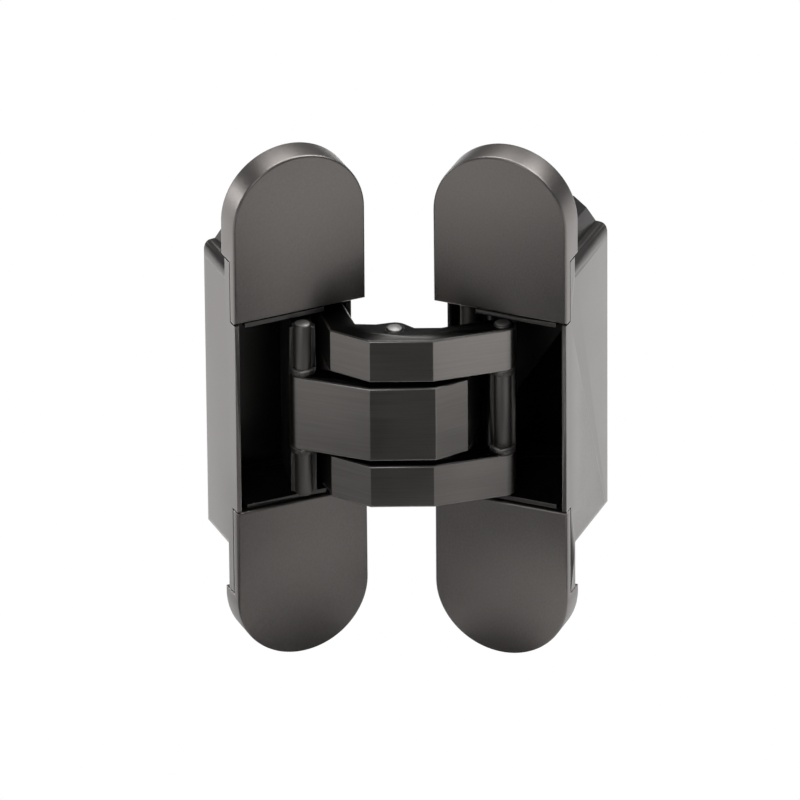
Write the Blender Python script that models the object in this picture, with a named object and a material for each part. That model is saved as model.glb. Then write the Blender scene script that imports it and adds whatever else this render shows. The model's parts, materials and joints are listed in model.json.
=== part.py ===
"""Concealed door hinge: two cast leaves joined by crossing arms that fold into them.

The hinge stands as it is used, with its pins along +Z. The frame leaf lies along X with its face
towards -Y, and the origin is the centre of that leaf's flat back. The door leaf is part way open.
Places in a leaf are (u, w): u runs from the leaf's inner edge to its outer edge, and w from its
face into the wood. Places on the arms are in plan from the centre pin, along the arms' flat front.
"""

import math

import bmesh
import bpy
from mathutils import Matrix, Vector
from mathutils.geometry import convex_hull_2d

MM = 0.001

# Leaves
LEAF_LENGTH = 95.0 * MM
LEAF_WIDTH = 24.0 * MM
FRAME_DEPTH = 15.1 * MM
DOOR_DEPTH = 21.4 * MM
WINDOW_HALF = 18.1 * MM
FLANGE_BACK = 4.0 * MM
BLOCK_HALF = 26.9 * MM
COLUMN_HALF = 32.2 * MM
COLUMN_RADIUS = 10.5 * MM
BACK_ROUND = 2.5 * MM
SIDE_WALL = 0.8 * MM
BACK_WALL = 0.8 * MM
INNER_WALL_FRONT = 6.4 * MM
ROOM_PAST_BLOCK = 1.2 * MM
SWEEP_PAST_WALL = 0.1 * MM
CUT_IN_FRONT = 3.0 * MM

# Covers
COVER_PLATE = 1.7 * MM
SKIRT_WALL = 1.2 * MM
SKIRT_DEPTH = 5.3 * MM
SKIRT_START = {"top": 29.4 * MM, "bottom": 34.5 * MM}
COVER_ROUND = 0.4 * MM
SEAT_GAP = 0.3 * MM

# Pin blocks and screws
BLOCK_INNER = 17.0 * MM
BLOCK_OUTER = 25.0 * MM
BLOCK_SIDE_WALL = 1.8 * MM
BLOCK_BACK_WALL = 1.3 * MM
BLOCK_ROUND = 1.5 * MM
LIP_THICKNESS = 0.8 * MM
LIP_FRONT = 0.5 * MM
LIP_START = 7.4 * MM
CLAMP_FROM_EDGE = 8.0 * MM
CLAMP_U = LEAF_WIDTH - CLAMP_FROM_EDGE
CLAMP_Z = 21.4 * MM
CLAMP_HEAD_RADIUS = 2.8 * MM
CLAMP_HEAD_LENGTH = 1.8 * MM
CLAMP_SHANK_RADIUS = 1.5 * MM
CLAMP_LENGTH = 6.0 * MM
ADJUSTER_Z = 29.3 * MM
ADJUSTER_RADIUS = 1.7 * MM
ADJUSTER_LENGTH = 6.5 * MM
HEX_SHARE = 0.5
HEX_DEPTH = 1.1 * MM
FIXING_FROM_END = 8.5 * MM
FIXING_Z = LEAF_LENGTH / 2 - FIXING_FROM_END
FIXING_RADIUS = 2.3 * MM
FIXING_HEAD_RADIUS = 4.1 * MM

# Pins, bushes and washers
PIN_RADIUS = 1.5 * MM
CENTER_PIN_RADIUS = 1.45 * MM
ROCKER_PIN_RADIUS = 0.9 * MM
PIN_CHAMFER = 0.25 * MM
PIN_IN_BLOCK = 4.9 * MM
PIN_PROUD = 0.3 * MM
RUNNING_GAP = 0.05 * MM
BUSH_WALL = 0.3 * MM
BUSH_FLANGE_RADIUS = 2.5 * MM
WASHER_THICKNESS = 1.0 * MM

# Arms and rockers
MIDDLE_HALF = 7.0 * MM
OUTER_HEIGHT = 8.0 * MM
HUB_RADIUS = 2.2 * MM
DEEP_HUB_RADIUS = 2.3 * MM
BOSS_RADIUS = 2.7 * MM
ARM_EDGE = 0.25 * MM
ROCKER_HALF_WIDTH = 1.7 * MM
ROCKER_EYE_WALL = 0.6 * MM
ROCKER_RELIEF = 1.2 * MM
SEAT_LIP = 0.45 * MM

# Outer arms' and middle arm's fronts and backs, from the centre pin
OUTER_FRONT = ((-10.9 * MM, -0.2 * MM), (-4.3 * MM, -4.2 * MM), (6.4 * MM, -4.2 * MM))
OUTER_BACK = ((8.9 * MM, 1.0 * MM), (7.8 * MM, 0.6 * MM), (3.4 * MM, 0.6 * MM))
OUTER_CROOK = ((-3.2 * MM, 2.0 * MM), (-6.6 * MM, 2.2 * MM))
MIDDLE_FRONT = ((-4.3 * MM, -4.4 * MM), (6.8 * MM, -4.3 * MM), (12.2 * MM, -1.2 * MM))
MIDDLE_CROOK = ((8.2 * MM, 1.6 * MM), (3.6 * MM, 1.6 * MM))
MIDDLE_BACK = ((-3.4 * MM, 1.4 * MM), (-7.0 * MM, 0.9 * MM))

# Where the pins stand at rest, and how each joint shares the opening
OPENING = math.radians(134.878)
FULL_OPENING = math.radians(180.0)
ARMS_TURN = math.radians(-23.2)
DOOR_CORNER = (9.941 * MM, -5.712 * MM)
CENTER_PIN = (-1.590 * MM, -8.577 * MM)
FRAME_ARM_PIN = (4.622 * MM, 7.105 * MM)
DOOR_ARM_PIN = (3.500 * MM, 7.194 * MM)
FRAME_FRONT_PIN = (11.988 * MM, -0.646 * MM)
DOOR_FRONT_PIN = (12.390 * MM, 0.184 * MM)
FRAME_ROCKER_PIN = (9.400 * MM, 10.400 * MM)
DOOR_ROCKER_PIN = (8.000 * MM, 12.000 * MM)
OUTER_SHARE = 0.5371
MIDDLE_SHARE = -0.1732
FRAME_ROCKER_SHARE = 0.590
DOOR_ROCKER_SHARE = -0.640

ROUND_STEPS = 32
HUB_STEP = math.radians(15.0)

MATERIALS = {
    "cast_satin": ((0.142, 0.132, 0.126), 0.42, 0.9),
    "cast_side": ((0.290, 0.275, 0.262), 0.38, 0.9),
    "arm_satin": ((0.170, 0.160, 0.152), 0.36, 1.0),
    "bright_steel": ((0.62, 0.61, 0.59), 0.22, 1.0),
    "dark_steel": ((0.060, 0.058, 0.056), 0.45, 1.0),
    "black_polymer": ((0.012, 0.012, 0.012), 0.55, 0.0),
}


def clear_scene():
    for obj in list(bpy.data.objects):
        bpy.data.objects.remove(obj, do_unlink=True)


def make_materials():
    made = {}
    for name, (color, roughness, metallic) in MATERIALS.items():
        material = bpy.data.materials.new(name)
        material.use_nodes = True
        shader = material.node_tree.nodes["Principled BSDF"]
        shader.inputs["Base Color"].default_value = (*color, 1.0)
        shader.inputs["Roughness"].default_value = roughness
        shader.inputs["Metallic"].default_value = metallic
        made[name] = material
    return made


def turn_about(point, angle):
    """The row-frame turn by angle about a vertical axis through point."""
    there = Matrix.Translation((point[0], point[1], 0.0))
    return there @ Matrix.Rotation(angle, 4, "Z") @ there.inverted()


class Leaf:
    """One leaf's own frame: side is -1 where u runs along -X, and +1 where it runs along +X."""

    def __init__(self, name, side, depth, corner, turn):
        self.name = name
        self.side = side
        self.depth = depth
        to_corner = Matrix.Translation((corner[0], corner[1], 0.0)) @ Matrix.Rotation(turn, 4, "Z")
        self.matrix = to_corner @ Matrix.Translation((side * LEAF_WIDTH / 2, 0.0, 0.0))

    def at(self, u, w, z=0.0):
        return Vector((self.side * (u - LEAF_WIDTH / 2), w, z))

    def place(self, u, w):
        return (self.matrix @ self.at(u, w)).xy


FRAME = Leaf("frame", -1, FRAME_DEPTH, (LEAF_WIDTH / 2, -FRAME_DEPTH), 0.0)
DOOR = Leaf(
    "door",
    1,
    DOOR_DEPTH,
    (LEAF_WIDTH / 2 + DOOR_CORNER[0], DOOR_CORNER[1] - FRAME_DEPTH),
    OPENING - FULL_OPENING,
)
CENTER = FRAME.place(*CENTER_PIN)
ARMS = Matrix.Translation((CENTER.x, CENTER.y, 0.0)) @ Matrix.Rotation(ARMS_TURN, 4, "Z")


def on_arms(leaf, place):
    """A pin's place in a leaf, as seen in plan from the centre pin along the arms' flat front."""
    return (ARMS.inverted() @ leaf.matrix @ leaf.at(*place)).xy


FRAME_ARM = on_arms(FRAME, FRAME_ARM_PIN)
FRAME_FRONT = on_arms(FRAME, FRAME_FRONT_PIN)
DOOR_ARM = on_arms(DOOR, DOOR_ARM_PIN)
DOOR_FRONT = on_arms(DOOR, DOOR_FRONT_PIN)


# Motion: each body's turn from rest when the door has turned by travel

def outer_at(travel):
    return turn_about(FRAME.place(*FRAME_ARM_PIN), OUTER_SHARE * travel)


def middle_at(travel):
    return outer_at(travel) @ turn_about(CENTER, MIDDLE_SHARE * travel)


def door_at(travel):
    share = 1.0 - OUTER_SHARE - MIDDLE_SHARE
    return middle_at(travel) @ turn_about(DOOR.place(*DOOR_ARM_PIN), share * travel)


def frame_rocker_at(travel):
    share = FRAME_ROCKER_SHARE - OUTER_SHARE - MIDDLE_SHARE
    return middle_at(travel) @ turn_about(FRAME.place(*FRAME_FRONT_PIN), share * travel)


def door_rocker_at(travel):
    share = 1.0 + DOOR_ROCKER_SHARE - OUTER_SHARE
    return outer_at(travel) @ turn_about(DOOR.place(*DOOR_FRONT_PIN), share * travel)


def slot_path(leaf, place, leaf_at, rocker_at, steps=12):
    """Where the leaf's rocker pin stands in the rocker, from closed to fully open."""
    pin = leaf.place(*place).to_3d()
    path = []
    for step in range(steps + 1):
        travel = FULL_OPENING * step / steps - OPENING
        path.append((ARMS.inverted() @ rocker_at(travel).inverted() @ leaf_at(travel) @ pin).xy)
    return path


# Shapes

def circle(centre, radius, steps=ROUND_STEPS):
    angles = (2 * math.pi * step / steps for step in range(steps))
    return [(centre[0] + radius * math.cos(a), centre[1] + radius * math.sin(a)) for a in angles]


def arc(centre, radius, start, end):
    steps = max(2, math.ceil(abs(end - start) / HUB_STEP))
    angles = (start + (end - start) * step / steps for step in range(steps + 1))
    return [(centre[0] + radius * math.cos(a), centre[1] + radius * math.sin(a)) for a in angles]


def hull(points):
    return [points[index] for index in convex_hull_2d([Vector(point) for point in points])]


def around(before, centre, radius, after):
    """The stretch of a hub's rim that joins a line from one point to a line to the next."""
    arriving = Vector(centre) - Vector(before)
    leaving = Vector(after) - Vector(centre)
    start = math.atan2(arriving.y, arriving.x) - math.asin(radius / arriving.length)
    end = math.atan2(leaving.y, leaving.x) + math.asin(radius / leaving.length)
    start -= math.pi / 2
    return arc(centre, radius, start, start + (end - math.pi / 2 - start) % (2 * math.pi))


def mesh_object(name, mesh_data):
    bmesh.ops.recalc_face_normals(mesh_data, faces=mesh_data.faces[:])
    mesh = bpy.data.meshes.new(name)
    mesh_data.to_mesh(mesh)
    mesh_data.free()
    obj = bpy.data.objects.new(name, mesh)
    bpy.context.scene.collection.objects.link(obj)
    return obj


def prism(name, base, lift, edge=0.0, rounds=1, both_ends=True):
    """A solid raised from a flat outline by lift, its rim edges chamfered or rounded by edge."""
    bm = bmesh.new()
    bottom = bm.faces.new([bm.verts.new(point) for point in base])
    raised = bmesh.ops.extrude_face_region(bm, geom=[bottom])
    top = [item for item in raised["geom"] if isinstance(item, bmesh.types.BMVert)]
    bmesh.ops.translate(bm, verts=top, vec=lift)
    if edge:
        rims = set(bottom.edges)
        if both_ends:
            rims |= {e for e in bm.edges if all(vert in top for vert in e.verts)}
        bmesh.ops.bevel(
            bm, geom=list(rims), offset=edge, segments=rounds, profile=0.5, affect="EDGES"
        )
    return mesh_object(name, bm)


def plate(name, outline, low, high, edge=0.0):
    """A solid whose plan is outline, from height low to height high."""
    base = [Vector((point[0], point[1], low)) for point in outline]
    return prism(name, base, Vector((0.0, 0.0, high - low)), edge)


def slab(name, leaf, outline, front, back, edge=0.0, rounds=1):
    """A solid whose outline in a leaf is given as (u, z), from depth front to depth back."""
    base = [leaf.at(u, front, z) for u, z in outline]
    return prism(name, base, Vector((0.0, back - front, 0.0)), edge, rounds, both_ends=False)


def leaf_box(name, leaf, u_range, w_range, z_range):
    corners = [(u_range[0], z_range[0]), (u_range[1], z_range[0])]
    corners += [(u_range[1], z_range[1]), (u_range[0], z_range[1])]
    return slab(name, leaf, corners, *w_range)


def turned(name, profile, axis="Z", steps=ROUND_STEPS):
    """A solid of revolution from a profile of (radius, height), closed on its axis at both ends."""
    bm = bmesh.new()
    rings = []
    for radius, height in profile:
        if radius:
            rings.append([bm.verts.new((x, y, height)) for x, y in circle((0, 0), radius, steps)])
    for lower, upper in zip(rings, rings[1:]):
        for i in range(steps):
            j = (i + 1) % steps
            bm.faces.new((lower[i], lower[j], upper[j], upper[i]))
    bm.faces.new(rings[0])
    bm.faces.new(rings[-1])
    if axis == "Y":
        bm.transform(Matrix.Rotation(math.radians(-90.0), 4, "X"))
    return mesh_object(name, bm)


def round_pin(name, centre, radius, low, high, chamfer=PIN_CHAMFER):
    ends = [(radius - chamfer, low), (radius, low + chamfer)]
    ends += [(radius, high - chamfer), (radius - chamfer, high)]
    pin = turned(name, ends)
    pin.data.transform(Matrix.Translation((centre[0], centre[1], 0.0)))
    return pin


def post(name, centre, radius, low, high):
    return plate(name, circle(centre, radius), low, high)


def boolean(obj, tool, operation="DIFFERENCE"):
    """Cuts or joins with a tool drawn in the same frame, and applies it when the piece is seated."""
    modifier = obj.modifiers.new(tool.name, "BOOLEAN")
    modifier.operation = operation
    modifier.object = tool
    tool.hide_render = True
    tool.display_type = "WIRE"
    return obj


def seat(obj, frame, pivot, material):
    """Applies a piece's cuts in the frame it was drawn in, and moves it to its body's pivot."""
    tools = [modifier.object for modifier in obj.modifiers]
    graph = bpy.context.evaluated_depsgraph_get()
    mesh = bpy.data.meshes.new_from_object(obj.evaluated_get(graph))
    obj.modifiers.clear()
    obj.data = mesh
    for tool in tools:
        bpy.data.objects.remove(tool, do_unlink=True)
    mesh.transform(pivot.matrix_world.inverted() @ frame)
    obj.parent = pivot
    mesh.materials.clear()
    mesh.materials.append(material)
    mesh.shade_smooth()
    mesh.set_sharp_from_angle(angle=math.radians(28.0))
    return obj


# Leaves

def end_arc(radius, sign, centre_z):
    """The half circle that ends a leaf, from the inner edge over the end to the outer edge."""
    middle = LEAF_WIDTH / 2
    return arc((middle, sign * centre_z), radius, math.pi, math.pi - sign * math.pi)


def stadium(radius, half_length):
    straight = half_length - radius
    return end_arc(radius, 1, straight) + end_arc(radius, -1, straight)[::-1]


def flange_outline():
    """The flange's front view: full width between the skirts, and inset where they wrap it."""
    inset = SKIRT_WALL + SEAT_GAP
    high = SKIRT_START["top"] - SEAT_GAP
    low = SEAT_GAP - SKIRT_START["bottom"]
    straight = LEAF_LENGTH / 2 - LEAF_WIDTH / 2
    outline = [(0.0, low), (0.0, high), (inset, high)]
    outline += end_arc(LEAF_WIDTH / 2 - inset, 1, straight)
    outline += [(LEAF_WIDTH - inset, high), (LEAF_WIDTH, high), (LEAF_WIDTH, low)]
    outline += [(LEAF_WIDTH - inset, low)]
    outline += end_arc(LEAF_WIDTH / 2 - inset, -1, straight)[::-1]
    return outline + [(inset, low)]


def block_plan(leaf, inset, front, back, radius):
    """A leaf block's plan, square in front and rounded at its back edges."""
    left, right = inset, LEAF_WIDTH - inset
    plan = [(left, front), (right, front)]
    plan += arc((right - radius, back - radius), radius, 0.0, math.pi / 2)
    plan += arc((left + radius, back - radius), radius, math.pi / 2, math.pi)
    return [leaf.at(u, w).xy for u, w in plan]


def leaf_body(leaf):
    """The casting: a thin flange, a deep block with a rounded column, and the arms' pocket."""
    name = leaf.name
    front = COVER_PLATE + SEAT_GAP
    body = plate(
        f"{name}_body",
        block_plan(leaf, 0.0, front, leaf.depth, BACK_ROUND),
        -BLOCK_HALF,
        BLOCK_HALF,
    )
    column = stadium(COLUMN_RADIUS, COLUMN_HALF)
    boolean(body, slab(f"{name}_column", leaf, column, front, leaf.depth), "UNION")
    boolean(body, slab(f"{name}_flange", leaf, flange_outline(), front, FLANGE_BACK), "UNION")
    rim_half = WINDOW_HALF - SEAT_GAP
    rim_start = LEAF_WIDTH - 2 * SIDE_WALL
    rim = leaf_box(f"{name}_rim", leaf, (rim_start, LEAF_WIDTH), (0.0, 2 * front), (-rim_half, rim_half))
    boolean(body, rim, "UNION")
    above = -CUT_IN_FRONT
    half = BLOCK_INNER + ROOM_PAST_BLOCK
    room = (SIDE_WALL, LEAF_WIDTH - SIDE_WALL)
    boolean(body, leaf_box(f"{name}_room", leaf, room, (above, leaf.depth - BACK_WALL), (-half, half)))
    ends = (BLOCK_SIDE_WALL, LEAF_WIDTH - BLOCK_SIDE_WALL)
    end_half = BLOCK_OUTER + SEAT_GAP
    back = leaf.depth - BLOCK_BACK_WALL
    boolean(body, leaf_box(f"{name}_end_room", leaf, ends, (above, back), (-end_half, end_half)))
    sweep = (-MM, SIDE_WALL + SWEEP_PAST_WALL)
    window = (-WINDOW_HALF, WINDOW_HALF)
    boolean(body, leaf_box(f"{name}_sweep", leaf, sweep, (above, INNER_WALL_FRONT), window))
    for end, sign in (("top", 1), ("bottom", -1)):
        slope = FIXING_HEAD_RADIUS - FIXING_RADIUS
        profile = [(FIXING_HEAD_RADIUS + MM, front - MM), (FIXING_RADIUS, front + slope)]
        profile.append((FIXING_RADIUS, FLANGE_BACK + MM))
        boolean(body, sunk_hole(f"{name}_fixing_{end}", leaf, LEAF_WIDTH / 2, sign * FIXING_Z, profile))
        bore = ADJUSTER_RADIUS + RUNNING_GAP
        profile = [(bore, front - MM), (bore, front + ADJUSTER_LENGTH + SEAT_GAP)]
        boolean(body, sunk_hole(f"{name}_adjuster_bore_{end}", leaf, LEAF_WIDTH / 2, sign * ADJUSTER_Z, profile))
    return body


def sunk_hole(name, leaf, u, z, profile):
    """A round cutter or screw that runs into a leaf from its face."""
    tool = turned(name, profile, axis="Y", steps=24)
    tool.data.transform(Matrix.Translation(leaf.at(u, 0.0, z)))
    return tool


def leaf_cover(leaf, end):
    """A cap over one end of a leaf: a plate on the face with a skirt round the leaf's end."""
    sign = 1 if end == "top" else -1
    straight = LEAF_LENGTH / 2 - LEAF_WIDTH / 2
    outline = [(0.0, sign * WINDOW_HALF)] + end_arc(LEAF_WIDTH / 2, sign, straight)
    outline.append((LEAF_WIDTH, sign * WINDOW_HALF))
    name = f"{leaf.name}_cover_{end}"
    cover = slab(name, leaf, outline, 0.0, SKIRT_DEPTH, COVER_ROUND, 3)
    start = SKIRT_START[end]
    inner = WINDOW_HALF - MM
    clear = leaf_box(
        f"{name}_clear",
        leaf,
        (-MM, LEAF_WIDTH + MM),
        (COVER_PLATE, SKIRT_DEPTH + MM),
        (sign * inner, sign * start),
    )
    boolean(cover, clear)
    hollow = [(SKIRT_WALL, sign * inner)] + end_arc(LEAF_WIDTH / 2 - SKIRT_WALL, sign, straight)
    hollow.append((LEAF_WIDTH - SKIRT_WALL, sign * inner))
    boolean(cover, slab(f"{name}_hollow", leaf, hollow, COVER_PLATE, SKIRT_DEPTH + 2 * MM))
    return cover


def pin_block(leaf, end, bores):
    """The block behind a cover that holds the deep pins' ends, with a thin lip at the window."""
    sign = 1 if end == "top" else -1
    name = f"{leaf.name}_pin_block_{end}"
    inset = BLOCK_SIDE_WALL + SEAT_GAP
    front = COVER_PLATE + 2 * SEAT_GAP
    back = leaf.depth - BLOCK_BACK_WALL - SEAT_GAP
    plan = block_plan(leaf, inset, front, back, BLOCK_ROUND)
    block = plate(name, plan, *sorted((sign * BLOCK_INNER, sign * BLOCK_OUTER)))
    lip_u = (LIP_START, LEAF_WIDTH - inset)
    lip_z = sorted((sign * BLOCK_INNER, sign * (BLOCK_INNER + LIP_THICKNESS)))
    boolean(block, leaf_box(f"{name}_lip", leaf, lip_u, (LIP_FRONT, front + MM), lip_z), "UNION")
    for number, (place, radius) in enumerate(bores):
        low, high = sorted((sign * (BLOCK_INNER - MM), sign * (BLOCK_INNER + PIN_IN_BLOCK + SEAT_GAP)))
        centre = leaf.at(*place).xy
        boolean(block, post(f"{name}_bore_{number}", centre, radius + RUNNING_GAP, low, high))
    head = CLAMP_HEAD_RADIUS + SEAT_GAP
    shank = CLAMP_SHANK_RADIUS + RUNNING_GAP
    step = front + CLAMP_HEAD_LENGTH + SEAT_GAP
    profile = [(head, front - MM), (head, step), (shank, step)]
    profile.append((shank, front + CLAMP_LENGTH + 2 * SEAT_GAP))
    return boolean(block, sunk_hole(f"{name}_clamp_bore", leaf, CLAMP_U, sign * CLAMP_Z, profile))


def hex_socket(name, leaf, u, z, head_radius, front):
    profile = [(head_radius * HEX_SHARE, front - MM), (head_radius * HEX_SHARE, front + HEX_DEPTH)]
    tool = turned(name, profile, axis="Y", steps=6)
    tool.data.transform(Matrix.Translation(leaf.at(u, 0.0, z)))
    return tool


def clamp_screw(leaf, end):
    sign = 1 if end == "top" else -1
    name = f"{leaf.name}_clamp_screw_{end}"
    front = COVER_PLATE + 2 * SEAT_GAP
    step = front + CLAMP_HEAD_LENGTH
    profile = [(CLAMP_HEAD_RADIUS, front), (CLAMP_HEAD_RADIUS, step), (CLAMP_SHANK_RADIUS, step)]
    profile.append((CLAMP_SHANK_RADIUS, front + CLAMP_LENGTH))
    screw = sunk_hole(name, leaf, CLAMP_U, sign * CLAMP_Z, profile)
    socket = hex_socket(f"{name}_hex", leaf, CLAMP_U, sign * CLAMP_Z, CLAMP_HEAD_RADIUS, front)
    return boolean(screw, socket)


def adjusting_screw(leaf, end):
    sign = 1 if end == "top" else -1
    name = f"{leaf.name}_adjusting_screw_{end}"
    front = COVER_PLATE + 2 * SEAT_GAP
    profile = [(ADJUSTER_RADIUS, front), (ADJUSTER_RADIUS, front + ADJUSTER_LENGTH - SEAT_GAP)]
    screw = sunk_hole(name, leaf, LEAF_WIDTH / 2, sign * ADJUSTER_Z, profile)
    socket = hex_socket(f"{name}_hex", leaf, LEAF_WIDTH / 2, sign * ADJUSTER_Z, ADJUSTER_RADIUS, front)
    return boolean(screw, socket)


# Arms, rockers and their pins

CENTER_BORE = CENTER_PIN_RADIUS + BUSH_WALL + 2 * RUNNING_GAP
OUTER_LOW = MIDDLE_HALF + WASHER_THICKNESS
OUTER_HIGH = OUTER_LOW + OUTER_HEIGHT


def outer_outline():
    outline = list(OUTER_FRONT)
    outline += around(OUTER_FRONT[-1], DOOR_FRONT, HUB_RADIUS, OUTER_BACK[0])
    outline += list(OUTER_BACK)
    outline += around(OUTER_BACK[-1], (0.0, 0.0), BOSS_RADIUS, OUTER_CROOK[0])
    outline += list(OUTER_CROOK)
    return outline + around(OUTER_CROOK[-1], FRAME_ARM, DEEP_HUB_RADIUS, OUTER_FRONT[0])


def middle_outline():
    outline = list(MIDDLE_FRONT)
    outline += around(MIDDLE_FRONT[-1], DOOR_ARM, DEEP_HUB_RADIUS, MIDDLE_CROOK[0])
    outline += list(MIDDLE_CROOK)
    outline += around(MIDDLE_CROOK[-1], (0.0, 0.0), BOSS_RADIUS, MIDDLE_BACK[0])
    outline += list(MIDDLE_BACK)
    return outline + around(MIDDLE_BACK[-1], FRAME_FRONT, HUB_RADIUS, MIDDLE_FRONT[0])


def arm(name, outline, low, high, pins):
    """One arm: a bent bar with a hub at each end and a bushed bore at the centre pin."""
    bar = plate(name, outline, low, high, ARM_EDGE)
    bores = [((0.0, 0.0), CENTER_BORE)] + [(pin, PIN_RADIUS + RUNNING_GAP) for pin in pins]
    for number, (centre, radius) in enumerate(bores):
        boolean(bar, post(f"{name}_bore_{number}", centre, radius, low - MM, high + MM))
    return bar


def ring(name, centre, inner, outer, low, high):
    body = post(name, centre, outer, low, high)
    return boolean(body, post(f"{name}_bore", centre, inner, low - MM, high + MM))


def centre_bush(name, low, high, flange):
    """A plain bush for the centre pin, with a flange towards the middle arm on the outer arms."""
    inner = CENTER_PIN_RADIUS + RUNNING_GAP
    bush = post(name, (0.0, 0.0), inner + BUSH_WALL, low, high)
    if flange:
        boolean(bush, post(f"{name}_flange", (0.0, 0.0), BUSH_FLANGE_RADIUS, *flange), "UNION")
    return boolean(bush, post(f"{name}_bore", (0.0, 0.0), inner, low - 2 * MM, high + 2 * MM))


def rocker(name, front, path, seat_inside):
    """A rocking bar: an open seat behind the front pin, and a slotted eye for the leaf's pin."""
    eye = ROCKER_PIN_RADIUS + ROCKER_EYE_WALL + RUNNING_GAP
    rims = [point for place in path for point in circle(place, eye)]
    bar = plate(name, hull(circle(front, ROCKER_HALF_WIDTH) + rims), -OUTER_HIGH, OUTER_HIGH, ARM_EDGE)
    hub_gap = RUNNING_GAP
    if seat_inside:
        seats = [(-MIDDLE_HALF + hub_gap, MIDDLE_HALF - hub_gap)]
        clears = [(MIDDLE_HALF, OUTER_HIGH + MM), (-OUTER_HIGH - MM, -MIDDLE_HALF)]
    else:
        low, high = OUTER_LOW + hub_gap, OUTER_HIGH - ARM_EDGE
        seats = [(low, high), (-high, -low)]
        clears = [(-OUTER_LOW, OUTER_LOW)]
    for number, (low, high) in enumerate(clears):
        tool = post(f"{name}_clear_{number}", front, HUB_RADIUS + ROCKER_RELIEF, low, high)
        boolean(bar, tool)
    for number, (low, high) in enumerate(seats):
        boolean(bar, post(f"{name}_seat_{number}", front, HUB_RADIUS, low, high), "UNION")
    tall = OUTER_HIGH + MM
    boolean(bar, post(f"{name}_pin_bore", front, PIN_RADIUS + RUNNING_GAP, -tall, tall))
    x, y = front
    wide = 2 * HUB_RADIUS
    mouth = [(x - wide, y - wide), (x + wide, y - wide), (x + wide, y - SEAT_LIP), (x - wide, y - SEAT_LIP)]
    boolean(bar, plate(f"{name}_mouth", mouth, -tall, tall))
    slot = [point for place in path for point in circle(place, ROCKER_PIN_RADIUS + RUNNING_GAP)]
    return boolean(bar, plate(f"{name}_slot", hull(slot), -tall, tall))


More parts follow.
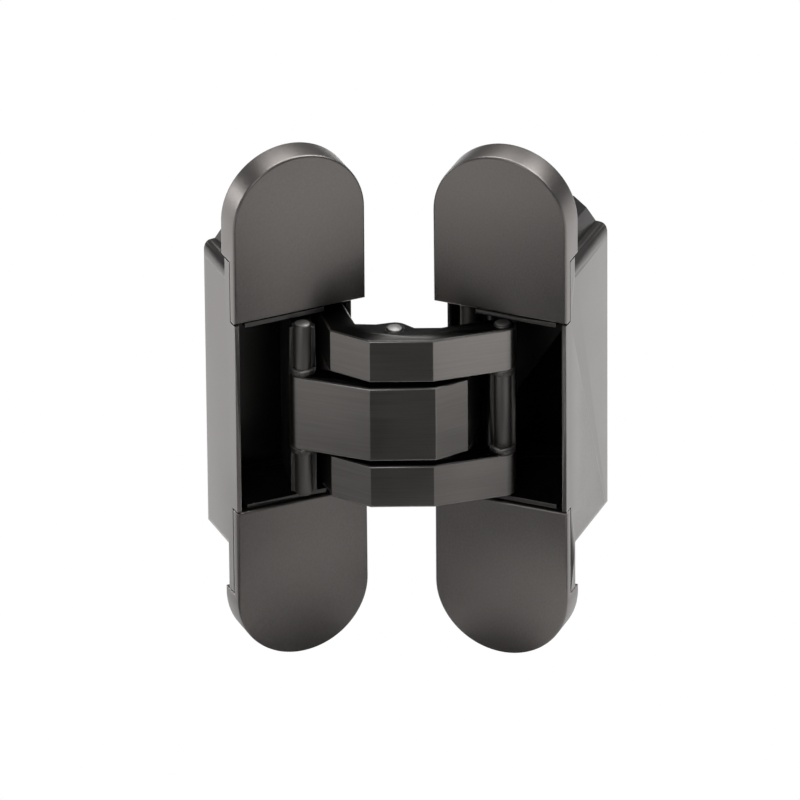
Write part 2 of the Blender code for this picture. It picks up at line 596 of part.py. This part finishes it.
def build():
    clear_scene()
    finish = make_materials()
    pivots = {}
    axes = {
        "frame_leaf": (Vector((0.0, 0.0)), 0.0),
        "outer_arms": (FRAME.place(*FRAME_ARM_PIN), ARMS_TURN),
        "middle_link": (CENTER, ARMS_TURN),
        "door_leaf": (DOOR.place(*DOOR_ARM_PIN), OPENING - FULL_OPENING),
        "frame_rocker_link": (FRAME.place(*FRAME_FRONT_PIN), ARMS_TURN),
        "door_rocker_link": (DOOR.place(*DOOR_FRONT_PIN), ARMS_TURN),
    }
    for name, (place, turn) in axes.items():
        pivot = bpy.data.objects.new(f"{name}_axis", None)
        pivot.location = place.to_3d()
        pivot.rotation_euler.z = turn
        bpy.context.scene.collection.objects.link(pivot)
        pivots[name] = pivot
    bpy.context.view_layer.update()

    deep_pins = {
        "frame": ((FRAME_ARM_PIN, PIN_RADIUS, "arm"), (FRAME_ROCKER_PIN, ROCKER_PIN_RADIUS, "rocker")),
        "door": ((DOOR_ARM_PIN, PIN_RADIUS, "arm"), (DOOR_ROCKER_PIN, ROCKER_PIN_RADIUS, "rocker")),
    }
    for leaf in (FRAME, DOOR):
        pivot = pivots[f"{leaf.name}_leaf"]
        pins = deep_pins[leaf.name]
        seat(leaf_body(leaf), leaf.matrix, pivot, finish["cast_side"])
        for end in ("top", "bottom"):
            seat(leaf_cover(leaf, end), leaf.matrix, pivot, finish["cast_satin"])
            bores = [(place, radius) for place, radius, _ in pins]
            seat(pin_block(leaf, end, bores), leaf.matrix, pivot, finish["dark_steel"])
            seat(clamp_screw(leaf, end), leaf.matrix, pivot, finish["bright_steel"])
            seat(adjusting_screw(leaf, end), leaf.matrix, pivot, finish["bright_steel"])
        reach = BLOCK_INNER + PIN_IN_BLOCK
        for place, radius, use in pins:
            pin = round_pin(f"{leaf.name}_{use}_pin", leaf.at(*place), radius, -reach, reach)
            seat(pin, leaf.matrix, pivot, finish["bright_steel"])

    outer, middle = pivots["outer_arms"], pivots["middle_link"]
    for end, low, high in (("upper", OUTER_LOW, OUTER_HIGH), ("lower", -OUTER_HIGH, -OUTER_LOW)):
        bar = arm(f"{end}_arm", outer_outline(), low, high, (FRAME_ARM, DOOR_FRONT))
        seat(bar, ARMS, outer, finish["arm_satin"])
        sign = 1 if end == "upper" else -1
        inner = MIDDLE_HALF + RUNNING_GAP
        flange = sorted((sign * inner, sign * (OUTER_LOW - RUNNING_GAP)))
        sleeve = sorted((sign * inner, sign * OUTER_HIGH))
        seat(centre_bush(f"{end}_centre_bush", *sleeve, flange), ARMS, outer, finish["black_polymer"])
    bar = arm("middle_arm", middle_outline(), -MIDDLE_HALF, MIDDLE_HALF, (FRAME_FRONT, DOOR_ARM))
    seat(bar, ARMS, middle, finish["arm_satin"])
    bush = centre_bush("middle_centre_bush", -MIDDLE_HALF, MIDDLE_HALF, None)
    seat(bush, ARMS, middle, finish["black_polymer"])
    pin_half = OUTER_HIGH + PIN_PROUD
    centre_pin = round_pin("centre_pin", (0.0, 0.0), CENTER_PIN_RADIUS, -pin_half, pin_half)
    seat(centre_pin, ARMS, outer, finish["bright_steel"])

    rockers = (
        (FRAME, "frame", FRAME_FRONT, FRAME_ROCKER_PIN, lambda travel: Matrix(), frame_rocker_at, False),
        (DOOR, "door", DOOR_FRONT, DOOR_ROCKER_PIN, door_at, door_rocker_at, True),
    )
    for leaf, name, front, place, leaf_at, rocker_at, seat_inside in rockers:
        link = pivots[f"{name}_rocker_link"]
        path = slot_path(leaf, place, leaf_at, rocker_at)
        seat(rocker(f"{name}_rocker", front, path, seat_inside), ARMS, link, finish["dark_steel"])
        pin = round_pin(f"{name}_front_pin", front, PIN_RADIUS, -pin_half, pin_half)
        seat(pin, ARMS, link, finish["bright_steel"])
        for end, sign in (("upper", 1), ("lower", -1)):
            heights = (MIDDLE_HALF + RUNNING_GAP, OUTER_LOW - RUNNING_GAP)
            low, high = sorted(sign * height for height in heights)
            bore = PIN_RADIUS + RUNNING_GAP
            washer = ring(f"{name}_washer_{end}", front, bore, HUB_RADIUS, low, high)
            seat(washer, ARMS, link, finish["bright_steel"])


build()
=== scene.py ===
"""Concealed door hinge, standing part open on a white table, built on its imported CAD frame."""

import json
import math

import bmesh
import bpy
from mathutils import Matrix, Vector


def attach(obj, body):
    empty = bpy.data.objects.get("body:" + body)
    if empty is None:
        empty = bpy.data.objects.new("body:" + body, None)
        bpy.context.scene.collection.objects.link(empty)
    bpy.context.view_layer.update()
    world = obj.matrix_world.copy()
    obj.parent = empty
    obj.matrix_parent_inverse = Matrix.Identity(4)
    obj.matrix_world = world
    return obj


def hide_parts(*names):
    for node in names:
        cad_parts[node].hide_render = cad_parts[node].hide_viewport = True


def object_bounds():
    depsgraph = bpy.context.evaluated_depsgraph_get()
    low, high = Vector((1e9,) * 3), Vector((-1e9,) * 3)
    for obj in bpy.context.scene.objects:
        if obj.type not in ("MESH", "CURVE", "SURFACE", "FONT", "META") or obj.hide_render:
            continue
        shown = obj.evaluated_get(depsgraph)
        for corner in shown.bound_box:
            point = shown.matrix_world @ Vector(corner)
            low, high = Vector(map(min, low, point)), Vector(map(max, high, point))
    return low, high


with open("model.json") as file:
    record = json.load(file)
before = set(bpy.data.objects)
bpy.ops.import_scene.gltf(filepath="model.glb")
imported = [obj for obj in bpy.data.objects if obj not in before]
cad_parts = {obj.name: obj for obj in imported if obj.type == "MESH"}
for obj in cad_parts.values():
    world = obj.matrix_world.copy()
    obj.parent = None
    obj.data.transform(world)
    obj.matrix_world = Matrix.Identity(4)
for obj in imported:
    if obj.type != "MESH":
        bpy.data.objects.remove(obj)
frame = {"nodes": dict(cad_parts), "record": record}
box_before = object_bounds()


# Caps
#
# Four zinc die castings that hide the fixing screws. Each is a thin plate over a leaf's round end
# with a skirt bent back round it, barrelled smooth and plated a grey bronze, then brushed lightly
# along its length. Their edges are rounded by the barrelling and show paler where they rub, and
# the paler edge also carries a painted highlight.

MM = 0.001
LEAF_WIDTH = 24.0 * MM
LEAF_HALF_LENGTH = 47.5 * MM
CAP_PLATE = 1.7 * MM
CAP_ROUND = 0.4 * MM
SKIRT_WALL = 1.2 * MM
SKIRT_DEPTH = 5.3 * MM
SKIRT_START = {"top": 29.4 * MM, "bottom": 34.5 * MM}
WINDOW_HALF = 18.1 * MM
ARC_STEPS = 60
OVERRUN = 1.0 * MM


def leaf_matrix(mount_name):
    """A leaf's frame from the mount on its flat back: +Y runs out through the back."""
    mounts = {mount["name"]: mount for mount in frame["record"]["mounts"]}
    axis = mounts[mount_name]["axis"]
    turn = math.atan2(-axis[0], axis[1])
    return Matrix.Translation(mounts[mount_name]["pos_m"]) @ Matrix.Rotation(turn, 4, "Z")


def front_of(node, matrix):
    """The depth of a node's foremost face in a leaf's frame."""
    to_leaf = matrix.inverted()
    return min((to_leaf @ vertex.co).y for vertex in frame["nodes"][node].data.vertices)


def round_end(radius, sign):
    """The half circle that ends a leaf, across the leaf and along it."""
    centre = LEAF_HALF_LENGTH - LEAF_WIDTH / 2
    angles = [math.pi * step / ARC_STEPS for step in range(ARC_STEPS + 1)]
    return [(-radius * math.cos(a), sign * (centre + radius * math.sin(a))) for a in angles]


def slab(name, outline, front, back, edge=0.0):
    """A solid from a front view, its front edges rounded by edge."""
    bm = bmesh.new()
    face = bm.faces.new([bm.verts.new((x, front, z)) for x, z in outline])
    raised = bmesh.ops.extrude_face_region(bm, geom=[face])
    far = [item for item in raised["geom"] if isinstance(item, bmesh.types.BMVert)]
    bmesh.ops.translate(bm, verts=far, vec=(0.0, back - front, 0.0))
    if edge:
        bmesh.ops.bevel(bm, geom=list(face.edges), offset=edge, segments=4, profile=0.5, affect="EDGES")
    bmesh.ops.recalc_face_normals(bm, faces=bm.faces[:])
    mesh = bpy.data.meshes.new(name)
    bm.to_mesh(mesh)
    bm.free()
    piece = bpy.data.objects.new(name, mesh)
    bpy.context.scene.collection.objects.link(piece)
    return piece


def cut(piece, tool):
    modifier = piece.modifiers.new(tool.name, "BOOLEAN")
    modifier.operation = "DIFFERENCE"
    modifier.object = tool
    graph = bpy.context.evaluated_depsgraph_get()
    mesh = bpy.data.meshes.new_from_object(piece.evaluated_get(graph))
    piece.modifiers.clear()
    piece.data = mesh
    bpy.data.objects.remove(tool, do_unlink=True)


def cap(name, end, front, matrix):
    sign = 1 if end == "top" else -1
    half = LEAF_WIDTH / 2
    edge_z = sign * WINDOW_HALF
    outline = [(-half, edge_z)] + round_end(half, sign) + [(half, edge_z)]
    piece = slab(name, outline, front, front + SKIRT_DEPTH, CAP_ROUND)
    inner_z = sign * (WINDOW_HALF - OVERRUN)
    wide = half + OVERRUN
    start_z = sign * SKIRT_START[end]
    window = [(-wide, inner_z), (wide, inner_z), (wide, start_z), (-wide, start_z)]
    cut(piece, slab(f"{name}_window", window, front + CAP_PLATE, front + SKIRT_DEPTH + OVERRUN))
    inside = half - SKIRT_WALL
    hollow = [(-inside, inner_z)] + round_end(inside, sign) + [(inside, inner_z)]
    cut(piece, slab(f"{name}_hollow", hollow, front + CAP_PLATE, front + SKIRT_DEPTH + 2 * OVERRUN))
    piece.data.transform(matrix)
    piece.data.shade_smooth()
    piece.data.set_sharp_from_angle(angle=math.radians(28.0))
    return piece


class Value:
    """A shader socket that takes part in plain arithmetic with numbers and other sockets."""

    def __init__(self, shading, socket):
        self.shading = shading
        self.socket = socket

    def math(self, operation, first, second):
        made = self.shading.node("ShaderNodeMath", {"operation": operation}, {0: first, 1: second})
        return Value(self.shading, made.outputs[0])

    def __add__(self, other):
        return self.math("ADD", self, other)

    def __radd__(self, other):
        return self.math("ADD", other, self)

    def __sub__(self, other):
        return self.math("SUBTRACT", self, other)

    def __rsub__(self, other):
        return self.math("SUBTRACT", other, self)

    def __mul__(self, other):
        return self.math("MULTIPLY", self, other)

    def __rmul__(self, other):
        return self.math("MULTIPLY", other, self)

    def __truediv__(self, other):
        return self.math("DIVIDE", self, other)

    def __rtruediv__(self, other):
        return self.math("DIVIDE", other, self)

    def at_least(self, other):
        return self.math("MAXIMUM", self, other)

    def at_most(self, other):
        return self.math("MINIMUM", self, other)


class Shading:
    """One material's node tree round its Principled shader."""

    def __init__(self, name):
        self.material = bpy.data.materials.new(name)
        self.material.use_nodes = True
        self.tree = self.material.node_tree
        self.principled = self.tree.nodes["Principled BSDF"]

    def feed(self, socket, value):
        if isinstance(value, Value):
            self.tree.links.new(value.socket, socket)
        else:
            socket.default_value = value

    def node(self, kind, settings, values):
        made = self.tree.nodes.new(kind)
        for key, setting in settings.items():
            setattr(made, key, setting)
        for key, value in values.items():
            self.feed(made.inputs[key], value)
        return made

    def place(self):
        return Value(self, self.node("ShaderNodeTexCoord", {}, {}).outputs["Object"])

    def stretched(self, scale):
        """The place on the piece, with each axis scaled by itself, in cycles a metre."""
        made = self.node("ShaderNodeVectorMath", {"operation": "MULTIPLY"}, {0: self.place(), 1: scale})
        return Value(self, made.outputs[0])

    def noise(self, scale, detail=2.0):
        values = {"Vector": self.stretched(scale), "Scale": 1.0, "Detail": detail}
        return Value(self, self.node("ShaderNodeTexNoise", {}, values).outputs[0])

    def blend(self, share, first, second):
        """A colour between two, by a share from 0 to 1."""
        made = self.node("ShaderNodeMix", {"data_type": "RGBA"}, {0: share, 6: first, 7: second})
        return Value(self, made.outputs[2])

    def edge_normal(self, radius):
        """The normal as it would be with every edge rounded by radius."""
        return Value(self, self.node("ShaderNodeBevel", {"samples": 6}, {"Radius": radius}).outputs[0])

    def wear_and_sheen_mask(self, normal):
        """Near 1 on the edges that hands and the other leaf rub and where a painted highlight goes, and 0
        on flat faces.
        """
        face = Value(self, self.node("ShaderNodeNewGeometry", {}, {}).outputs["Normal"])
        dot = self.node("ShaderNodeVectorMath", {"operation": "DOT_PRODUCT"}, {0: normal, 1: face})
        return ((1.0 - Value(self, dot.outputs["Value"])) * 6.0).at_most(1.0)

    def flat_end(self):
        """1 on faces square to the pins and 0 on upright ones."""
        geometry = self.node("ShaderNodeNewGeometry", {}, {})
        normal = Value(self, geometry.outputs["True Normal"])
        parts = self.node("ShaderNodeSeparateXYZ", {}, {"Vector": normal})
        up = Value(self, parts.outputs["Z"])
        return ((up * up - 0.6) * 5.0).at_least(0.0).at_most(1.0)

    def openness(self, reach):
        """How open the place is to what lies within reach: 1 in the open and near 0 in a deep hollow."""
        made = self.node("ShaderNodeAmbientOcclusion", {"samples": 6}, {"Distance": reach})
        return Value(self, made.outputs["AO"])

    def bump(self, height, distance, normal):
        values = {"Strength": 1.0, "Distance": distance, "Height": height, "Normal": normal}
        return Value(self, self.node("ShaderNodeBump", {}, values).outputs[0])

    def surface(self, **values):
        for key, value in values.items():
            self.feed(self.principled.inputs[key.replace("_", " ")], value)
        return self.material


# Painted shade: the dark colour that deep hollows are painted towards.
HOLLOW_PAINTED_SHADE = (0.050, 0.050, 0.050, 1.0)


def satin_metal(name, color, wear_and_sheen_color, roughness, grain, relief, edge, **extra):
    """A surface with a brushed grain, a faint cloudiness and paler edges, from rubbed wear and a painted
    highlight.

    Extra may give metallic, the reach within which hollows are painted darker as shade, and a colour for
    faces square to the pins.
    """
    shading = Shading(name)
    lines = shading.noise(grain, 3.0)
    cloud = shading.noise((90.0, 90.0, 90.0), 2.0)
    rounded = shading.edge_normal(edge)
    # Painted highlight and wear: edges are painted paler, partly for rubbing and partly as a highlight.
    edge_wear_and_sheen = (shading.wear_and_sheen_mask(rounded) * (cloud * 1.5)).at_most(1.0)
    tone = lines * 0.7 + cloud * 0.3
    deep = tuple(channel * 0.72 for channel in color) + (1.0,)
    light = tuple(min(1.0, channel * 1.28) for channel in color) + (1.0,)
    plain = shading.blend(tone, deep, light)
    shade = shading.blend(edge_wear_and_sheen, plain, wear_and_sheen_color + (1.0,))
    # Faces square to the pins take the given colour.
    if "cut" in extra:
        shade = shading.blend(shading.flat_end(), shade, extra["cut"] + (1.0,))
    # Painted shade: the less open a place is, the darker its colour is painted.
    if "hollow" in extra:
        lit = shading.openness(extra["hollow"])
        shade = shading.blend(lit * lit, HOLLOW_PAINTED_SHADE, shade)
    rough = lines * 0.14 + cloud * 0.08 + (roughness - 0.11)
    normal = shading.bump(lines, relief, rounded)
    metallic = extra.get("metallic", 1.0)
    return shading.surface(Base_Color=shade, Metallic=metallic, Roughness=rough, Normal=normal)


CAP_COLOR = (0.142, 0.132, 0.126)
# The edge colour stands for rubbed wear and a painted highlight.
CAP_WEAR_AND_SHEEN = (0.42, 0.40, 0.38)
CAP_GRAIN = (3600.0, 3600.0, 2400.0)
cap_finish = satin_metal("cap_satin", CAP_COLOR, CAP_WEAR_AND_SHEEN, 0.40, CAP_GRAIN, 0.004 * MM, 0.25 * MM)

LEAVES = {"frame": leaf_matrix("frame_leaf_back"), "door": leaf_matrix("door_leaf_back")}
for leaf, matrix in LEAVES.items():
    for end in ("top", "bottom"):
        node = f"{leaf}_cover_{end}"
        made = cap(f"{leaf}_cap_{end}", end, front_of(node, matrix), matrix)
        made.data.materials.append(cap_finish)
        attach(made, f"{leaf}_leaf")
        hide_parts(node)


# Leaf bodies
#
# Deep zinc castings let into the door's edge and the frame: a thin flange that the wood screws
# pull home, and a block hollowed into the pocket that the arms fold into. Their plating is paler
# and plainer than the caps', and the pocket's walls keep the slight orange peel of the die. Deep in
# the pocket the colour is painted darker, as painted shade.

BLOCK_HALF = 26.9 * MM
SHOULDER = 1.8 * MM
FLANGE_BACK = 4.0 * MM
NICK = 0.02 * MM
BODY_COLOR = (0.138, 0.130, 0.124)
BODY_WEAR_AND_SHEEN = (0.42, 0.40, 0.38)
BODY_GRAIN = (2600.0, 2600.0, 2600.0)
# Within this reach the pocket's walls are painted darker, as painted shade.
POCKET_SHADE_REACH = 9.0 * MM
body_finish = satin_metal(
    "body_cast", BODY_COLOR, BODY_WEAR_AND_SHEEN, 0.38, BODY_GRAIN, 0.006 * MM, 0.2 * MM, hollow=POCKET_SHADE_REACH
)


def welded(node):
    """A piece with a CAD node's own form, its corners joined so that round stretches can shade smooth."""
    bm = bmesh.new()
    bm.from_mesh(frame["nodes"][node].data)
    bmesh.ops.remove_doubles(bm, verts=bm.verts[:], dist=0.001 * MM)
    mesh = bpy.data.meshes.new(f"{node}_shown")
    bm.to_mesh(mesh)
    bm.free()
    piece = bpy.data.objects.new(f"{node}_shown", mesh)
    bpy.context.scene.collection.objects.link(piece)
    return piece


def show(piece, node, material, sharp):
    """Puts a piece in a CAD node's stead, on its body and with its material, smooth up to the angle sharp.
    """
    record = frame["record"]
    bodies = record["behaviour"]["bodies"]
    piece.data.shade_smooth()
    piece.data.set_sharp_from_angle(angle=sharp)
    piece.data.materials.clear()
    piece.data.materials.append(material)
    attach(piece, next(body for body in bodies if node in bodies[body]))
    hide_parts(node)


def shoulder_tool(name, side, sign, front):
    """What the die leaves off one corner of the block, seen from the front."""
    x, z = LEAF_WIDTH / 2 - SHOULDER, BLOCK_HALF - SHOULDER
    angles = [math.pi / 2 * step / 12 for step in range(13)]
    outline = [(x + SHOULDER + OVERRUN, BLOCK_HALF + NICK), (x + SHOULDER + OVERRUN, z)]
    outline += [(x + SHOULDER * math.cos(a), z + SHOULDER * math.sin(a)) for a in angles]
    outline.append((x, BLOCK_HALF + NICK))
    outline = [(side * across, sign * along) for across, along in outline]
    return slab(name, outline, front, OVERRUN)


for leaf, matrix in LEAVES.items():
    node = f"{leaf}_body"
    casting = welded(node)
    casting.data.transform(matrix.inverted())
    block_front = front_of(f"{leaf}_cover_top", matrix) + FLANGE_BACK
    for side in (-1, 1):
        for sign in (-1, 1):
            cut(casting, shoulder_tool(f"{leaf}_shoulder", side, sign, block_front))
    casting.data.transform(matrix)
    show(casting, node, body_finish, math.radians(28.0))


# Arms
#
# Three bars cut from thick steel and cranked so that they nest: two outer ones joined by the
# centre pin and a tall one between them. They are linished along their length before plating,
# so fine level lines run round the facets, and their long edges are broken and rub bright, with
# a painted highlight on them too.

ARM_COLOR = (0.170, 0.160, 0.152)
# The edge colour stands for rubbed wear and a painted highlight.
ARM_WEAR_AND_SHEEN = (0.55, 0.53, 0.51)
# The arms' faces square to the pins are coloured darker than their sides.
ARM_FLAT_FACE_COLOR = (0.035, 0.034, 0.033)
ARM_GRAIN = (70.0, 70.0, 3800.0)
ARM_SHARP = math.radians(28.0)
BEND = math.radians(6.0)
FACET_AREA = 12.0 * MM * MM
arm_finish = satin_metal(
    "arm_brushed", ARM_COLOR, ARM_WEAR_AND_SHEEN, 0.33, ARM_GRAIN, 0.008 * MM, 0.22 * MM, cut=ARM_FLAT_FACE_COLOR
)


def crease_bends(mesh):
    """Keeps the bends between broad facets sharp, while the narrow ones round a hub stay smooth."""
    bm = bmesh.new()
    bm.from_mesh(mesh)
    for edge in bm.edges:
        broad = all(face.calc_area() > FACET_AREA for face in edge.link_faces)
        if broad and edge.calc_face_angle(0.0) > BEND:
            edge.smooth = False
    bm.to_mesh(mesh)
    bm.free()


for node in ("upper_arm", "lower_arm", "middle_arm"):
    bar = welded(node)
    show(bar, node, arm_finish, ARM_SHARP)
    crease_bends(bar.data)


# Pins, washers and screws
#
# Ground steel pins with small chamfers, thin washers between the hubs, and socket screws under
# the caps. They are plated dark with the rest, and the pins' ends are faced bright afterwards.

STEEL_COLOR = (0.110, 0.104, 0.100, 1.0)
END_COLOR = (0.38, 0.37, 0.36, 1.0)
STEEL_ROUGH = 0.48
END_ROUGH = 0.55
STEEL_GRAIN = (200.0, 200.0, 22000.0)
STEEL_RELIEF = 0.003 * MM
STEEL_EDGE = 0.15 * MM
STEEL_SHARP = math.radians(30.0)


def faced_steel():
    """Dark turned steel whose flat ends are bright."""
    shading = Shading("faced_steel")
    end = shading.flat_end()
    lines = shading.noise(STEEL_GRAIN, 3.0)
    shade = shading.blend(end, STEEL_COLOR, END_COLOR)
    rough = lines * 0.12 + (STEEL_ROUGH - 0.06) + end * (END_ROUGH - STEEL_ROUGH)
    relief = shading.bump(lines, STEEL_RELIEF, shading.edge_normal(STEEL_EDGE))
    return shading.surface(Base_Color=shade, Metallic=1.0, Roughness=rough, Normal=relief)


steel_finish = faced_steel()
for node in list(frame["nodes"]):
    if node.endswith("_pin") or "_washer_" in node or "_screw_" in node:
        show(welded(node), node, steel_finish, STEEL_SHARP)


# Pin blocks and rockers
#
# The hidden steel of the hinge: blocks that hold the deep pins behind the caps, and the rocking
# bars behind the arms that keep the leaves in step. They are blackened and lightly oiled.

DARK_COLOR = (0.060, 0.058, 0.056)
DARK_WEAR_AND_SHEEN = (0.22, 0.21, 0.20)
DARK_GRAIN = (900.0, 900.0, 900.0)
dark_finish = satin_metal("blackened_steel", DARK_COLOR, DARK_WEAR_AND_SHEEN, 0.42, DARK_GRAIN, 0.005 * MM, 0.2 * MM)
for node in list(frame["nodes"]):
    if node.endswith("_rocker") or "_pin_block_" in node:
        show(welded(node), node, dark_finish, ARM_SHARP)


# Bushes
#
# Thin sleeves of black bearing plastic round the centre pin, moulded with a flange that keeps the
# arms apart. They show only as a dark ring round the pin's bright end.

BUSH_COLOR = (0.012, 0.012, 0.012)
BUSH_WEAR_AND_SHEEN = (0.03, 0.03, 0.03)
BUSH_GRAIN = (2500.0, 2500.0, 2500.0)
bush_finish = satin_metal(
    "bearing_plastic", BUSH_COLOR, BUSH_WEAR_AND_SHEEN, 0.55, BUSH_GRAIN, 0.002 * MM, 0.1 * MM, metallic=0.0
)
for node in list(frame["nodes"]):
    if node.endswith("_bush"):
        show(welded(node), node, bush_finish, STEEL_SHARP)


# Table and backdrop
#
# A white sweep under and behind the hinge. The lens sees it as plain white, and the metal reflects
# it as a lit surface, with the soft dark of the hinge's own shadow.

TABLE_REACH = 3.0
TABLE_COLOR = (0.90, 0.90, 0.90, 1.0)
WHITE = (1.0, 1.0, 1.0, 1.0)
ROOM_COLOR = (0.11, 0.11, 0.115, 1.0)

table_mesh = bpy.data.meshes.new("table")
table_corners = [(-1, -1), (1, -1), (1, 1), (-1, 1)]
table_z = box_before[0].z
table_points = [(x * TABLE_REACH, y * TABLE_REACH, table_z) for x, y in table_corners]
table_mesh.from_pydata(table_points, [], [(0, 1, 2, 3)])
table = bpy.data.objects.new("table", table_mesh)
bpy.context.scene.collection.objects.link(table)
table_shading = Shading("table_white")
table_paint = table_shading.surface(Base_Color=TABLE_COLOR, Roughness=0.9)
seen = Value(table_shading, table_shading.node("ShaderNodeLightPath", {}, {}).outputs["Is Camera Ray"])
glow = table_shading.node("ShaderNodeEmission", {}, {"Color": WHITE, "Strength": 1.0})
paint = table_shading.principled.outputs["BSDF"]
shown = table_shading.node(
    "ShaderNodeMixShader",
    {},
    {0: seen, 1: Value(table_shading, paint), 2: Value(table_shading, glow.outputs[0])},
)
table_end = table_shading.tree.nodes["Material Output"]
table_shading.feed(table_end.inputs["Surface"], Value(table_shading, shown.outputs[0]))
table_mesh.materials.append(table_paint)

world = bpy.data.worlds.new("studio")
bpy.context.scene.world = world
world.use_nodes = True
backdrop = world.node_tree.nodes["Background"]
path = world.node_tree.nodes.new("ShaderNodeLightPath")
choice = world.node_tree.nodes.new("ShaderNodeMix")
choice.data_type = "RGBA"
choice.inputs[6].default_value = ROOM_COLOR
choice.inputs[7].default_value = WHITE
world.node_tree.links.new(path.outputs["Is Camera Ray"], choice.inputs[0])
world.node_tree.links.new(choice.outputs[2], backdrop.inputs["Color"])


# Lights
#
# Soft boxes at a plain studio level: a wide one above and to the right that draws the door leaf's
# side, a smaller one in front to the left, one above and behind, and a low strip on the left for
# the frame leaf's.

def soft_box(name, place, width, height, power, aim=(0.0, 0.0, 0.0)):
    data = bpy.data.lights.new(name, "AREA")
    data.shape = "RECTANGLE"
    data.size = width
    data.size_y = height
    data.energy = power
    lamp = bpy.data.objects.new(name, data)
    lamp.location = place
    lamp.rotation_euler = (Vector(aim) - Vector(place)).to_track_quat("-Z", "Y").to_euler()
    bpy.context.scene.collection.objects.link(lamp)
    return lamp


soft_box("key_box", (0.85, 0.00, 1.30), 0.9, 0.9, 26.0)
soft_box("fill_box", (-0.80, -0.90, 0.90), 0.6, 0.8, 6.0)
soft_box("back_box", (0.00, 0.60, 1.10), 0.9, 0.5, 14.0, (0.02, 0.30, -0.05))
soft_box("left_strip", (-1.00, 0.95, 0.22), 0.5, 0.3, 5.0)

# Cards lie on the table out of the lens's sight, for the metal to reflect: a black one before the
# lens for the arms' middle facets, a grey one on the left and a small dark one on the right.

CARD_LIFT = 0.5 * MM
hinge_foot = Vector((0.014, -0.024, table_z + CARD_LIFT))


def card(name, bearing, width, near, far, grey):
    """A card on the table from near to far of the hinge, on a bearing counted from +X."""
    away = Vector((math.cos(math.radians(bearing)), math.sin(math.radians(bearing)), 0.0))
    beside = Vector((-away.y, away.x, 0.0)) * width / 2
    start, end = hinge_foot + away * near, hinge_foot + away * far
    mesh = bpy.data.meshes.new(name)
    mesh.from_pydata([start - beside, start + beside, end + beside, end - beside], [], [(0, 1, 2, 3)])
    made = bpy.data.objects.new(name, mesh)
    bpy.context.scene.collection.objects.link(made)
    mesh.materials.append(Shading(name).surface(Base_Color=(grey, grey, grey, 1.0), Roughness=0.9))
    made.visible_camera = False


card("front_card", 246.8, 0.100, 0.045, 0.420, 0.02)
card("left_card", 200.0, 0.160, 0.030, 0.130, 0.20)
card("right_card", 318.0, 0.070, 0.050, 0.112, 0.05)


# Camera
#
# A long lens from well back and above, as product photographs are taken, turned so that the frame
# leaf is seen a little from its outer side, with the whole hinge in a square picture.

VIEW_TURN = math.radians(-23.2)
VIEW_ELEVATION = math.radians(28.5)
VIEW_ROLL = 0.0086
VIEW_DISTANCE = 2.36
VIEW_ACROSS = 134.9 * MM
VIEW_TARGET = Vector((14.13 * MM, -24.40 * MM, 2.68 * MM))
SENSOR = 36.0

level_right = Vector((math.cos(VIEW_TURN), math.sin(VIEW_TURN), 0.0))
level_ahead = Vector((-math.sin(VIEW_TURN), math.cos(VIEW_TURN), 0.0))
ahead = level_ahead * math.cos(VIEW_ELEVATION) - Vector((0.0, 0.0, math.sin(VIEW_ELEVATION)))
level_up = level_right.cross(ahead)
right = (level_right - level_up * VIEW_ROLL).normalized()
up = right.cross(ahead)

lens = bpy.data.cameras.new("camera")
lens.sensor_width = SENSOR
lens.lens = SENSOR * VIEW_DISTANCE / VIEW_ACROSS
lens.clip_start = 0.05
lens.clip_end = 20.0
lens.dof.use_dof = False
camera = bpy.data.objects.new("camera", lens)
facing = Matrix((right, up, -ahead)).transposed().to_4x4()
camera.matrix_world = Matrix.Translation(VIEW_TARGET - ahead * VIEW_DISTANCE) @ facing
bpy.context.scene.collection.objects.link(camera)
bpy.context.scene.camera = camera
bpy.context.scene.view_settings.view_transform = "Standard"
